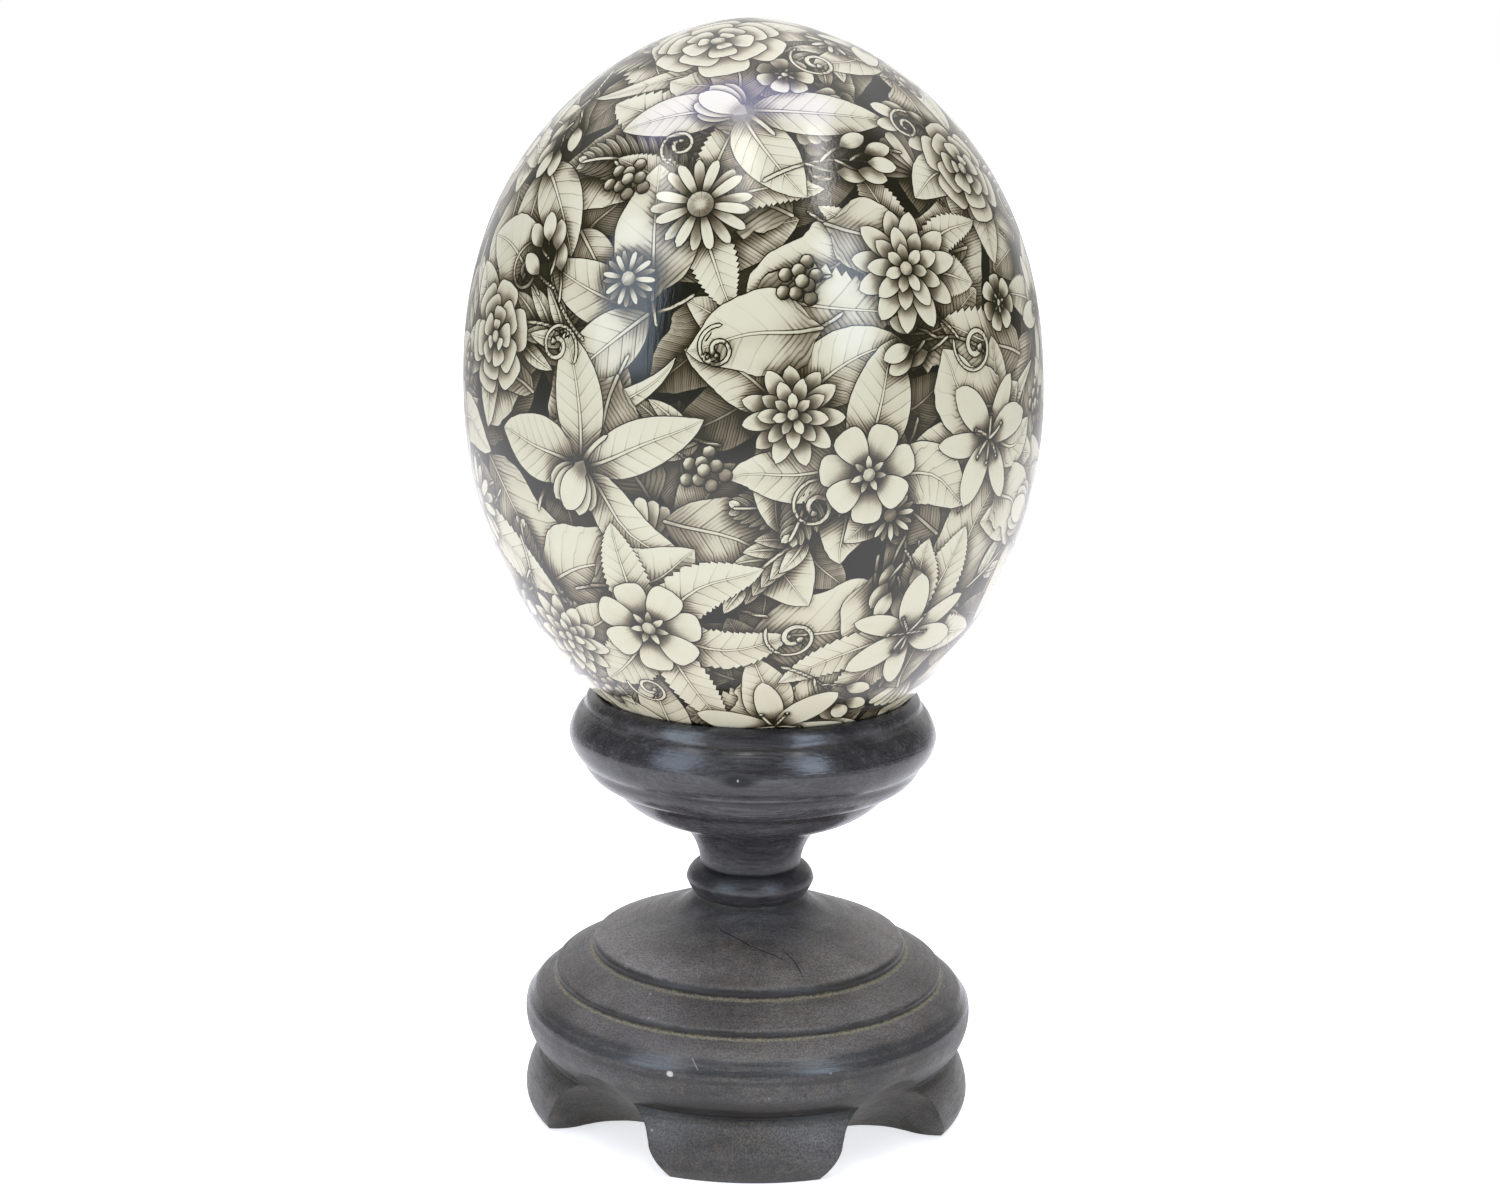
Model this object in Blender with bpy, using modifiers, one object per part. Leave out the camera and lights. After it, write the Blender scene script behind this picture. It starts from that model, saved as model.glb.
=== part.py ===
"""A painted ostrich egg resting in the cup of a turned wooden stand with four feet.

Metres, +Z up. The origin is on the table under the stand's axis, and one foot faces -Y.
"""

import math

import bmesh
import bpy

MM = 0.001

# Egg: a body of revolution, blunt at both poles and widest at its middle ring.
EGG_RADIUS = 65.0 * MM
EGG_ABOVE = 83.9 * MM  # from the widest ring up to the top pole
EGG_BELOW = 84.1 * MM  # from the widest ring down to the bottom pole
EGG_ABOVE_SHAPE = (2.36, 0.57)  # radius = EGG_RADIUS * (1 - h ** first) ** second, for h from 0 to 1
EGG_BELOW_SHAPE = (1.925, 0.56)
EGG_CENTRE = (-1.2 * MM, 0.0, 166.8 * MM)
EGG_LEAN = math.radians(-2.1)  # the top leans to -X
EGG_RINGS = 14  # rings between the widest ring and each pole
EGG_SIDES = 40

# Stand: its turned outline, down the outer side from the rim to the table, in millimetres.
# Each row is a corner's radius and height, then how far the stretch to the next corner bulges
# outwards (hollow if negative), and how many steps that stretch has.
STAND_OUTLINE = (
    (36.4, 99.8, 0.5, 3),  # rim, where the egg touches
    (38.7, 96.9, -0.1, 1),  # valley under the rim
    (39.2, 95.9, 0.9, 4),  # shoulder of the cup
    (42.4, 88.9, 1.1, 4),  # line round the cup at its widest
    (39.3, 83.6, 1.2, 4),  # corner above the small roll
    (32.8, 77.8, 1.8, 5),  # corner above the cup's bottom
    (18.7, 69.5, -1.7, 5),  # bottom of the cup, then the hollow neck
    (11.7, 58.2, 0.7, 3),  # top of the bead
    (14.9, 54.4, 0.1, 1),  # edge of the bead
    (13.0, 50.8, -0.8, 3),  # start of the flare
    (21.0, 45.9, 0.1, 2),
    (35.0, 40.3, 0.5, 3),  # edge of the upper disc
    (36.6, 37.4, 0.0, 1),
    (36.3, 36.8, 0.25, 2),  # upper groove
    (44.2, 33.6, 0.4, 3),  # edge of the ring
    (45.3, 31.6, 0.0, 1),
    (44.8, 31.1, 0.3, 2),  # lower groove
    (49.8, 28.5, 0.0, 1),  # upper edge of the band
    (51.9, 25.7, 1.7, 5),  # lower edge of the band, then the base roll
    (47.9, 14.2, 0.0, 1),  # groove above the feet
    (48.2, 13.5, 0.9, 3),
    (52.1, 4.6, 0.5, 2),  # outer face of the feet
    (50.4, 0.0, 0.0, 1),
)
STAND_SIDES = 56
SEAT_GAP = 0.3 * MM  # between the egg and the cup

# Feet: what is left between four arched hollows, each scooped inwards and down to the table.
# The arch's outline from its crown down one side, in the same form as above.
ARCH_OUTLINE = (
    (0.0, 16.6, 0.1, 1),  # crown
    (4.5, 16.2, 0.5, 3),
    (10.8, 12.8, 0.4, 2),
    (14.1, 8.2, 0.1, 1),  # side
    (15.1, 5.5, -1.1, 4),  # rounded lower corner of a foot
)
ARCH_FOOT = (22.0, 0.0)  # where the arch meets the table
ARCH_DEPTH = 12.0  # how far the cutter's sides reach below that
ARCH_DISTANCE = 48.0 * MM  # from the middle out to the arch
ARCH_SLOPE = 0.84  # fall of the hollow for each unit inwards
ARCH_REACH = (8.0 * MM, 25.0 * MM)  # length of the cutter outwards and inwards of the arch
FOOT_ANGLES = (0.0, 180.0)  # the front and back feet, which are a little narrower than the others
ARCH_OFF_FOOT = 41.3  # from the middle of one of those feet to the middle of an arch, in degrees

SHARP_ANGLE = math.radians(28.0)


def clear_scene():
    """Remove the objects that the file opened with."""
    for scene_object in list(bpy.data.objects):
        bpy.data.objects.remove(scene_object, do_unlink=True)


def new_collection(name):
    """Add a collection to the scene."""
    collection = bpy.data.collections.new(name)
    bpy.context.scene.collection.children.link(collection)
    return collection


def principled(name, colour, roughness):
    """A plain Principled material."""
    material = bpy.data.materials.new(name)
    material.use_nodes = True
    shader = material.node_tree.nodes["Principled BSDF"]
    shader.inputs["Base Color"].default_value = (*colour, 1.0)
    shader.inputs["Roughness"].default_value = roughness
    material.diffuse_color = (*colour, 1.0)
    return material


def arc(start, end, bulge, steps):
    """Points from start up to, not including, end, on an arc that stands bulge off its chord."""
    along = (end[0] - start[0], end[1] - start[1])
    length = math.hypot(*along)
    outwards = (-along[1] / length, along[0] / length)
    points = []
    for step in range(steps):
        t = step / steps
        if bulge:
            radius = (length * length / 4 + bulge * bulge) / (2 * abs(bulge))
            half = length * (t - 0.5)
            rise = math.sqrt(radius * radius - half * half) - (radius - abs(bulge))
            rise = math.copysign(rise, bulge)
        else:
            rise = 0.0
        points.append((start[0] + along[0] * t + outwards[0] * rise,
                       start[1] + along[1] * t + outwards[1] * rise))
    return points


def outline_points(rows, last):
    """All the points of an outline given as rows of corner, bulge and steps, in metres."""
    corners = [row[:2] for row in rows] + [last]
    points = []
    for row, end in zip(rows, corners[1:]):
        points += arc(row[:2], end, row[2], row[3])
    points.append(last)
    return [(radius * MM, height * MM) for radius, height in points]


def egg_points(grow):
    """The egg's outline from top pole to bottom pole, grown by a clearance."""
    def radius_at(height, shape):
        return (EGG_RADIUS + grow) * (1.0 - height ** shape[0]) ** shape[1]

    above = EGG_ABOVE + grow
    below = EGG_BELOW + grow
    points = [(0.0, above)]
    for ring in range(1, EGG_RINGS):
        height = math.cos(math.pi / 2 * ring / EGG_RINGS)
        points.append((radius_at(height, EGG_ABOVE_SHAPE), above * height))
    points.append((EGG_RADIUS + grow, 0.0))
    for ring in range(EGG_RINGS - 1, 0, -1):
        height = math.cos(math.pi / 2 * ring / EGG_RINGS)
        points.append((radius_at(height, EGG_BELOW_SHAPE), -below * height))
    points.append((0.0, -below))
    return points


def turned(name, points, sides, collection):
    """Turn an outline of (radius, height) points about Z into a closed body."""
    mesh = bpy.data.meshes.new(name)
    vertices = [(radius, 0.0, height) for radius, height in points]
    edges = [(index, index + 1) for index in range(len(points) - 1)]
    mesh.from_pydata(vertices, edges, [])
    body = bpy.data.objects.new(name, mesh)
    collection.objects.link(body)
    screw = body.modifiers.new("Turn", "SCREW")
    screw.axis = "Z"
    screw.steps = sides
    screw.render_steps = sides
    screw.use_merge_vertices = True
    screw.merge_threshold = 0.00001
    return body


def as_cutter(body):
    """Hide a body that only cuts another."""
    body.hide_render = True
    body.display_type = "WIRE"


def cut(body, cutter):
    """Take the cutter's shape out of a body."""
    boolean = body.modifiers.new("Cut " + cutter.name, "BOOLEAN")
    boolean.operation = "DIFFERENCE"
    boolean.solver = "EXACT"
    boolean.object = cutter


def place_egg(body):
    """Put a body where the egg lies, with its lean."""
    body.location = EGG_CENTRE
    body.rotation_euler = (0.0, EGG_LEAN, 0.0)


def arch_section():
    """The closed outline of an arch as (across, up) points."""
    side = outline_points(ARCH_OUTLINE, ARCH_FOOT)
    side.append((side[-1][0], -ARCH_DEPTH * MM))
    other_side = [(-across, up) for across, up in reversed(side[1:])]
    return side + other_side


def arch_cutter(name, angle, collection):
    """A hollow with an arched mouth, scooped inwards and down from its outer end."""
    outwards, inwards = ARCH_REACH
    model = bmesh.new()
    section = [
        model.verts.new((across, -ARCH_DISTANCE - outwards, up + outwards * ARCH_SLOPE))
        for across, up in arch_section()
    ]
    mouth = model.faces.new(section)
    length = outwards + inwards
    extruded = bmesh.ops.extrude_face_region(model, geom=[mouth], use_keep_orig=True)
    inner_end = [item for item in extruded["geom"] if isinstance(item, bmesh.types.BMVert)]
    bmesh.ops.translate(model, verts=inner_end, vec=(0.0, length, -length * ARCH_SLOPE))
    bmesh.ops.recalc_face_normals(model, faces=model.faces)
    mesh = bpy.data.meshes.new(name)
    model.to_mesh(mesh)
    model.free()
    cutter = bpy.data.objects.new(name, mesh)
    cutter.rotation_euler = (0.0, 0.0, math.radians(angle))
    collection.objects.link(cutter)
    as_cutter(cutter)
    return cutter


def finish(body, material):
    """Apply a body's modifiers, shade it smooth except at its edges, and give it its material."""
    bpy.context.view_layer.update()
    evaluated = body.evaluated_get(bpy.context.evaluated_depsgraph_get())
    mesh = bpy.data.meshes.new_from_object(evaluated)
    body.modifiers.clear()
    body.data = mesh
    mesh.name = body.name
    mesh.shade_smooth()
    mesh.set_sharp_from_angle(angle=SHARP_ANGLE)
    mesh.materials.clear()
    mesh.materials.append(material)


def build_egg(collection):
    """The egg, one solid."""
    egg = turned("egg", egg_points(0.0), EGG_SIDES, collection)
    place_egg(egg)
    finish(egg, principled("painted shell", (0.42, 0.37, 0.28), 0.18))


def build_stand(collection, cutters):
    """The stand: turned, with a seat for the egg and four feet."""
    base_middle = (0.0, 0.0)
    seat_top = [(0.0, STAND_OUTLINE[0][1] * MM)]
    outline = seat_top + outline_points(STAND_OUTLINE, base_middle)
    stand = turned("stand", outline, STAND_SIDES, collection)
    seat = turned("egg seat", egg_points(SEAT_GAP), EGG_SIDES, cutters)
    place_egg(seat)
    as_cutter(seat)
    cut(stand, seat)
    for foot_angle in FOOT_ANGLES:
        for side in (-1, 1):
            angle = foot_angle + side * ARCH_OFF_FOOT
            cut(stand, arch_cutter("arch %d" % angle, angle, cutters))
    finish(stand, principled("dark stained wood", (0.022, 0.020, 0.021), 0.55))


def main():
    """Build the egg and its stand."""
    clear_scene()
    parts = new_collection("ostrich egg on stand")
    cutters = new_collection("cutters")
    build_egg(parts)
    build_stand(parts, cutters)


main()
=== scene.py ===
"""Looks for the painted egg on its turned stand: painting, lacquer, worn wood, floor, light, camera.

Lengths are in millimetres, apart from the studio's. MM turns them into metres where meshes and nodes are made.
"""

import math

import bmesh
import bpy
import numpy as np
from mathutils import Matrix, Vector


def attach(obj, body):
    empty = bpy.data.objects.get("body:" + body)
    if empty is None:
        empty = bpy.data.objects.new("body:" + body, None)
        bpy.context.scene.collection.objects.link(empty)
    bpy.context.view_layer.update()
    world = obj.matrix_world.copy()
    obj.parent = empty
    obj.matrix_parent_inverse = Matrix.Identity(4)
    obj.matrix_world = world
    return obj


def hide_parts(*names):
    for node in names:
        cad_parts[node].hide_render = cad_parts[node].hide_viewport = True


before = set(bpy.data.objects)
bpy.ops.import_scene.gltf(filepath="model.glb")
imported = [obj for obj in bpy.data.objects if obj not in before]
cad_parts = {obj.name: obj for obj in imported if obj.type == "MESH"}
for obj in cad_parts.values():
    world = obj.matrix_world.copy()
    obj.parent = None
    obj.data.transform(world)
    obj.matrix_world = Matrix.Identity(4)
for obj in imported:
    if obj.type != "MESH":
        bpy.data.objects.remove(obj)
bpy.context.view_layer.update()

MM = 0.001

# The egg, a few hundredths of a millimetre smaller than the solid one, so that it stays inside its box.
EGG_RADIUS = 64.94
EGG_ABOVE = 83.86
EGG_BELOW = 84.06
EGG_ABOVE_SHAPE = (2.36, 0.57)
EGG_BELOW_SHAPE = (1.925, 0.56)
EGG_CENTRE = (-1.2, 0.0, 166.8)
EGG_LEAN = math.radians(-2.1)
EGG_GRID = 126  # squares along each side of the six patches that cover the egg
PATCH_HALF = 0.492  # half a patch's side on the map, where its cell is 1 wide

# The stand's outline as radius, height, bulge, steps. It follows the solid's, with more steps, and is up to
# 0.8 mm fuller at the cup and at the lips of the two grooves, as in the photograph.
STAND_OUTLINE = (
    (36.4, 99.8, 0.5, 6),
    (38.7, 96.9, -0.1, 3),
    (39.2, 95.9, 0.1, 4),
    (40.4, 94.7, 0.28, 7),
    (42.4, 89.8, 0.7, 10),
    (39.3, 83.6, 1.2, 10),
    (32.8, 77.8, 1.8, 14),
    (18.7, 69.5, -1.7, 14),
    (11.7, 58.2, 0.7, 8),
    (14.9, 54.4, 0.1, 4),
    (13.0, 50.8, -0.8, 8),
    (21.0, 45.9, 0.1, 8),
    (35.0, 40.3, 0.5, 6),
    (36.6, 38.2, 0.0, 2),
    (36.3, 37.6, 0.25, 5),
    (44.2, 33.8, 0.4, 5),
    (45.3, 32.2, 0.0, 2),
    (44.8, 31.7, 0.3, 4),
    (49.8, 28.5, 0.0, 4),
    (51.9, 25.7, 1.7, 14),
    (47.9, 14.2, 0.0, 2),
    (48.2, 13.5, 0.9, 10),
    (52.1, 4.6, 0.5, 6),
    (50.4, 0.0, 0.0, 1),
)
STAND_SIDES = 160
SEAT_GAP = 0.3
SEAT_RINGS = 96
SHARP_EDGE = math.radians(30)
# Half of the mouth of a hollow, as across, height, bulge, steps, and where it meets the floor.
ARCH_OUTLINE = ((0.0, 16.6, 0.1, 2), (4.5, 16.2, 0.5, 6), (10.8, 12.8, 0.4, 5), (14.1, 8.2, 0.1, 2),
                (15.1, 5.5, -1.1, 9))
ARCH_FOOT = (22.0, 0.0)
ARCH_DEPTH = 12.0  # how far the cutter goes below the floor
ARCH_DISTANCE = 48.0  # from the stand's axis to where the outline above is measured
ARCH_SLOPE = 0.84  # how steeply a hollow runs down as it goes inwards
ARCH_REACH = (8.0, 25.0)  # outwards and inwards from there
FOOT_ANGLES = (0.0, 180.0)
ARCH_OFF_FOOT = 41.3  # degrees from the front or back foot to the middle of a hollow beside it

SEED = 21
RANDOM = np.random.default_rng(SEED)
between = RANDOM.uniform
around = RANDOM.normal
PAINT_LAYERS = 5  # shapes that can meet in one square of the egg's grid
LAYER_FIELDS = {"Depth": ("deep", "across", "half"),
                "Line": ("pattern", "amount", "rib"),
                "Look": ("tone", "teeth", "fold")}
FIELDS = sum(LAYER_FIELDS.values(), ())
SPOTS = np.linspace(0.0, 1.0, 25)  # places along a spine where a shape's half-width is given
THINNEST = 0.47  # half-width of the thinnest stem that the egg's grid holds
FAR = 99.0
WIDEST_CHORD = 75.0  # a motif isn't laid further round the egg than this
ARC_TERM = 101400.0  # 24 times the square of the solid egg's radius: turns a chord into its arc
EDGE_REACH = 0.12  # how far a shape's painted edge reaches past it
CLOSED_DEPTH = 0.25  # a square this deep inside a shape shows nothing of what lies below


def lengths_of(vectors):
    """The length of each row."""
    return np.linalg.norm(vectors, axis=-1)


def units(vectors):
    """Each row, or a single vector, made 1 long."""
    return vectors / lengths_of(vectors)[..., None]


# ---- egg surface

def egg_profile(height, grown=0.0):
    """Radius and height of the egg, for heights from -1 at its lower pole to 1 at its upper."""
    above = height >= 0
    first = np.where(above, EGG_ABOVE_SHAPE[0], EGG_BELOW_SHAPE[0])
    second = np.where(above, EGG_ABOVE_SHAPE[1], EGG_BELOW_SHAPE[1])
    half = np.where(above, EGG_ABOVE, EGG_BELOW) + grown
    return (EGG_RADIUS + grown) * np.clip(1.0 - np.abs(height) ** first, 0.0, 1.0) ** second, height * half


def egg_points(directions):
    """Points of the upright egg for unit directions."""
    radius, height = egg_profile(directions[:, 2])
    ring = np.maximum(np.hypot(directions[:, 0], directions[:, 1]), 1e-9)
    return np.stack([directions[:, 0] / ring * radius, directions[:, 1] / ring * radius, height], axis=1)


def patch_grid():
    """Six square patches round the egg: directions, squares, and each corner's place on the map."""
    steps = np.linspace(-1.0, 1.0, EGG_GRID + 1)
    across, up = np.meshgrid(steps, steps, indexing="ij")
    a = np.tan(across * math.pi / 4)
    b = np.tan(up * math.pi / 4)
    one = np.ones_like(a)
    patches = [(one, a, b), (-one, -a, b), (-a, one, b), (a, -one, b), (-b, a, one), (b, a, -one)]
    directions = []
    squares = []
    places = []
    count = EGG_GRID + 1
    index = np.arange(count * count).reshape(count, count)
    square = np.stack([index[:-1, :-1], index[1:, :-1], index[1:, 1:], index[:-1, 1:]], axis=-1).reshape(-1, 4)
    place = np.stack([across, up], axis=-1).reshape(-1, 2) * PATCH_HALF + 0.5
    for number, patch in enumerate(patches):
        corners = np.stack(patch, axis=-1).reshape(-1, 3)
        directions.append(units(corners))
        squares.append(square + number * count * count)
        places.append((place + (number % 3, number // 3)) / (3.0, 2.0))
    directions = np.concatenate(directions)
    squares = np.concatenate(squares)
    places = np.concatenate(places)[squares]
    keys = np.round(directions * 1e5).astype(np.int64)
    _, first, merged = np.unique(keys, axis=0, return_index=True, return_inverse=True)
    return directions[first], merged.reshape(-1)[squares], places


# ---- painted shapes
# A motif is a list of shapes on a flat sheet, topmost first, laid on the egg.

def bent_line(start, heading, length, bend, steps, sway=0.0):
    """Points of a line that turns evenly from its first heading, with a sway from side to side."""
    part = (np.arange(steps) + 0.5) / steps
    turns = heading + bend * part + sway * np.sin(math.tau * part)
    moves = np.stack([np.cos(turns), np.sin(turns)], axis=1) * length / steps
    return np.concatenate([[start], np.asarray(start, float) + np.cumsum(moves, axis=0)])


def make_shape(kind, line, wide, bright=1.0, rounded=False, teeth=0.0, veins=0.0, wavy=0.0, fold=0.16, ink=0.6):
    """A shape: its spine, its half-width at each spot along it, and how it is painted."""
    line = np.asarray(line, float)
    return {"kind": kind, "line": line, "wide": wide, "length": run_along(line)[-1], "bright": bright,
            "rounded": rounded, "teeth": teeth, "veins": veins, "wavy": wavy, "fold": fold, "ink": ink}


def blade(kind, start, heading, length, width, bend=0.0, belly=(0.6, 0.9), bright=1.0, root=0.0, steps=8,
          sway=0.0, **look):
    """A leaf or petal, which swells and narrows along its spine."""
    rise, fall = belly
    peak = rise / (rise + fall)
    wide = SPOTS ** rise * (1 - SPOTS) ** fall / (peak ** rise * (1 - peak) ** fall)
    wide = width * np.maximum(wide, root * (1 - SPOTS) ** 2)
    return make_shape(kind, bent_line(start, heading, length, bend, steps, sway), wide, bright, **look)


def disc(centre, radius, kind="berry", bright=1.0):
    """A round shape."""
    x, y = centre
    return make_shape(kind, [(x - 1e-3, y), (x + 1e-3, y)], np.full(SPOTS.size, radius), bright, veins=12.0)


def strip(line, start_width, end_width, bright=1.0):
    """A stem or tendril."""
    return make_shape("stem", line, np.maximum(np.linspace(start_width, end_width, SPOTS.size), THINNEST), bright)


def run_along(line):
    """The length of a line up to each of its points."""
    return np.concatenate([[0.0], np.cumsum(lengths_of(np.diff(line, axis=0)))])


def along_and_across(line, points):
    """For each point its place along a line (0 to 1), how far across, and how far past an end."""
    steps = np.diff(line, axis=0)
    before = run_along(line)
    lengths = lengths_of(steps)
    offset = points[:, None, :] - line[None, :-1, :]
    raw = (offset * steps).sum(-1) / (lengths ** 2)
    held = np.clip(raw, 0.0, 1.0)
    gap = offset - held[..., None] * steps
    best = np.argmin((gap ** 2).sum(-1), axis=1)
    row = np.arange(len(points))
    held, raw, gap, offset = held[row, best], raw[row, best], gap[row, best], offset[row, best]
    side = (steps[best, 0] * offset[:, 1] - steps[best, 1] * offset[:, 0]) / lengths[best]
    last = len(steps) - 1
    past_start = np.where((best == 0) & (raw < 0), -raw * lengths[0], 0.0)
    past_end = np.where((best == last) & (raw > 1), (raw - 1) * lengths[last], 0.0)
    past = past_start + past_end
    across = np.where(past > 0, side, np.sign(side) * np.hypot(gap[:, 0], gap[:, 1]))
    return (before[best] + held * lengths[best]) / before[-1], across, past


def outline_of(shape):
    """A closed outline round a shape's spine."""
    line = shape["line"]
    places = run_along(line) / run_along(line)[-1]
    middle = np.stack([np.interp(SPOTS, places, line[:, 0]), np.interp(SPOTS, places, line[:, 1])], axis=1)
    ahead = units(np.gradient(middle, axis=0))
    normal = np.stack([-ahead[:, 1], ahead[:, 0]], axis=1)
    wide = shape["wide"][:, None]
    return np.concatenate([middle + normal * wide, (middle - normal * wide)[::-1]])


def depth_in(outline, points):
    """How deep each point lies inside a closed outline; negative outside."""
    step = np.roll(outline, -1, axis=0) - outline
    offset = points[:, None, :] - outline[None]
    size = np.maximum((step ** 2).sum(-1), 1e-12)
    held = np.clip((offset * step).sum(-1) / size, 0.0, 1.0)
    gap = offset - held[..., None] * step
    near = np.sqrt((gap ** 2).sum(-1).min(axis=1))
    end = outline + step
    y = points[:, None, 1]
    crosses = (outline[None, :, 1] > y) != (end[None, :, 1] > y)
    rise = np.where(np.abs(step[:, 1]) < 1e-12, 1e-12, step[:, 1])
    where = outline[None, :, 0] + (y - outline[None, :, 1]) / rise * step[None, :, 0]
    inside = (crosses & (points[:, None, 0] < where)).sum(axis=1) % 2 == 1
    return np.where(inside, near, -near)


def smooth(low, high, value):
    """0 below low, 1 above high, with an even curve between."""
    t = np.clip((value - low) / (high - low), 0.0, 1.0)
    return t * t * (3 - 2 * t)


def fields_of(shape, points, light_from):
    """What the painting material needs at each point of a shape."""
    kind = shape["kind"]
    bright = shape["bright"]
    u, across, past = along_and_across(shape["line"], points)
    wide = np.interp(u, SPOTS, shape["wide"])
    far = np.full(len(points), FAR)
    zero = np.zeros(len(points))
    result = {"deep": far, "across": across, "half": wide - past, "pattern": zero + 0.5,
              "amount": zero, "rib": zero, "teeth": zero, "fold": zero}
    if kind in ("berry", "eye"):
        offset = points - shape["line"].mean(axis=0)
        reach = np.hypot(offset[:, 0], offset[:, 1])
        radius = shape["wide"][0]
        toward = offset @ light_from / radius
        result["deep"] = radius - reach
        result["half"] = far
        if kind == "berry":
            result["tone"] = bright * (0.62 + 0.42 * toward - 0.25 * smooth(0.55, 1.0, reach / radius))
        else:
            result["tone"] = bright * (0.50 + 0.2 * toward + 0.35 * smooth(0.6, 0.2, reach / radius))
            result["pattern"] = np.arctan2(offset[:, 1], offset[:, 0]) / math.tau * shape["veins"]
            result["amount"] = zero + 0.8
        return result
    share = np.abs(across) / np.maximum(wide, 0.2)
    side = np.sign(across)
    run = shape["line"][-1] - shape["line"][0]
    lit = side * (run[0] * light_from[1] - run[1] * light_from[0]) / np.hypot(*run)
    if shape["rounded"]:
        result["deep"] = depth_in(outline_of(shape), points)
        result["half"] = far
    if kind == "leaf":
        ripple = np.sin(math.tau * 2.5 * u + 1.7 * side + 5.0 * shape["length"])
        result["half"] = result["half"] * (1.0 + shape["wavy"] * ripple)
        pitch = shape["length"] / shape["veins"]
        result["pattern"] = (u * shape["length"] - np.abs(across) * 0.85) / pitch + 0.35
        result["amount"] = shape["ink"] * smooth(0.98, 0.7, u)
        result["rib"] = 0.13 + 0.36 * (1 - u)
        result["teeth"] = shape["teeth"] * wide / shape["wide"].max()
        result["fold"] = zero + shape["fold"]
        body = (0.78 + 0.26 * smooth(0.0, 0.6, share)) * (0.50 + 0.52 * smooth(0.0, 0.42, u))
        result["tone"] = bright * body * (1.0 + 0.13 * lit)
    elif kind == "petal":
        result["pattern"] = across / np.maximum(wide, 0.5) * 0.5 * shape["veins"] + 0.5
        result["amount"] = shape["ink"] * smooth(0.72, 0.26, u + 0.12 * np.cos(across * 2.1))
        body = 0.36 + 0.68 * smooth(0.02, 0.46, u)
        result["tone"] = bright * body * (1 - 0.08 * smooth(0.35, 0.0, share)) * (1.0 + 0.07 * lit)
    elif kind == "leaflet":
        result["rib"] = zero + 0.10
        result["tone"] = bright * (0.62 + 0.40 * smooth(0.0, 0.6, u)) * (1.0 + 0.12 * lit)
    else:
        result["tone"] = bright * (1.0 - 0.45 * share ** 2)
    return result


# ---- motifs

def any_turn():
    """A random angle."""
    return between(0, math.tau)


def towards(heading, reach):
    """The point at a distance from the middle."""
    return (math.cos(heading) * reach, math.sin(heading) * reach)


def stalk(length, bend, start_width, end_width, bright=1.0, steps=6, start=(0.0, 0.0), heading=math.pi):
    """A stem from a motif's middle."""
    return strip(bent_line(start, heading, length, bend, steps), start_width, end_width, bright)


POINTED = (0.75, 0.62)
ROUND = (0.8, 0.30)
# Rings of petals as (count, length, width, belly, rounded).
DAHLIA = ((7, 4.6, 1.5, POINTED, False), (9, 8.2, 2.1, POINTED, False), (11, 12.4, 2.7, POINTED, False))
ROSE = ((3, 3.2, 1.9, ROUND, True), (5, 6.4, 3.1, ROUND, True), (5, 9.6, 4.5, ROUND, True),
        (6, 12.8, 5.3, ROUND, True))
OPEN_BLOSSOM = ((7, 3.6, 0.9, (0.6, 0.8), False), (7, 10.6, 3.9, (0.85, 0.33), True))
DAISY = ((17, 9.8, 1.35, (0.8, 0.40), False),)


def blossom(rings, eye_size=1.7, eye_tone=0.95):
    """A maker of a blossom with rings of petals, its smallest ring on top, round an eye."""
    def make(size):
        shapes = [disc((0, 0), eye_size * size, "eye", eye_tone)]
        turn = any_turn()
        for count, length, width, belly, rounded in rings:
            turn += math.pi / count
            for number in [*range(0, count, 2), *range(1, count, 2)]:
                heading = turn + math.tau * number / count + around(0, 0.04)
                shapes.append(blade("petal", towards(heading, size), heading, length * size * between(0.94, 1.05),
                                    width * size, around(0, 0.08), belly, root=0.35, steps=4,
                                    rounded=rounded, veins=8.0))
        return shapes
    return make


def lily(size):
    """Six long pointed petals, three in front of three, round a bunch of stamens."""
    shapes = []
    turn = any_turn()
    for number in range(6):
        heading = turn + 0.3 + math.tau * number / 6 + around(0, 0.1)
        line = bent_line((0.0, 0.0), heading, 5.6 * size, around(0, 0.3), 5)
        shapes += [disc(line[-1], 0.72 * size), strip(line, 0.34, 0.26, 0.95)]
    shapes.append(disc((0, 0), 1.5 * size, "eye", 0.9))
    for ring, width in enumerate((4.0, 3.0)):
        for number in range(3):
            heading = turn + math.tau * (2 * number + ring) / 6 + around(0, 0.05)
            shapes.append(blade("petal", (0, 0), heading, 16.5 * size, width * size, around(0, 0.25),
                                (0.72, 0.62), root=0.3, steps=6, sway=around(0, 0.12), veins=10.0))
    return shapes


def tulip(size):
    """A cupped bloom seen from the side, on a short stem."""
    shapes = [blade("petal", (0, 0), heading, length * size, width * size, -heading * 0.5,
                    (0.55, 0.55), root=0.6, steps=5, veins=8.0)
              for heading, length, width in ((0.0, 11.0, 3.4), (0.42, 10.8, 2.9), (-0.42, 10.8, 2.9),
                                             (0.85, 9.6, 2.4), (-0.85, 9.6, 2.4))]
    return [*shapes, stalk(10.0 * size, around(0, 0.5), 0.75, 0.6, 0.9, steps=8)]


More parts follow.
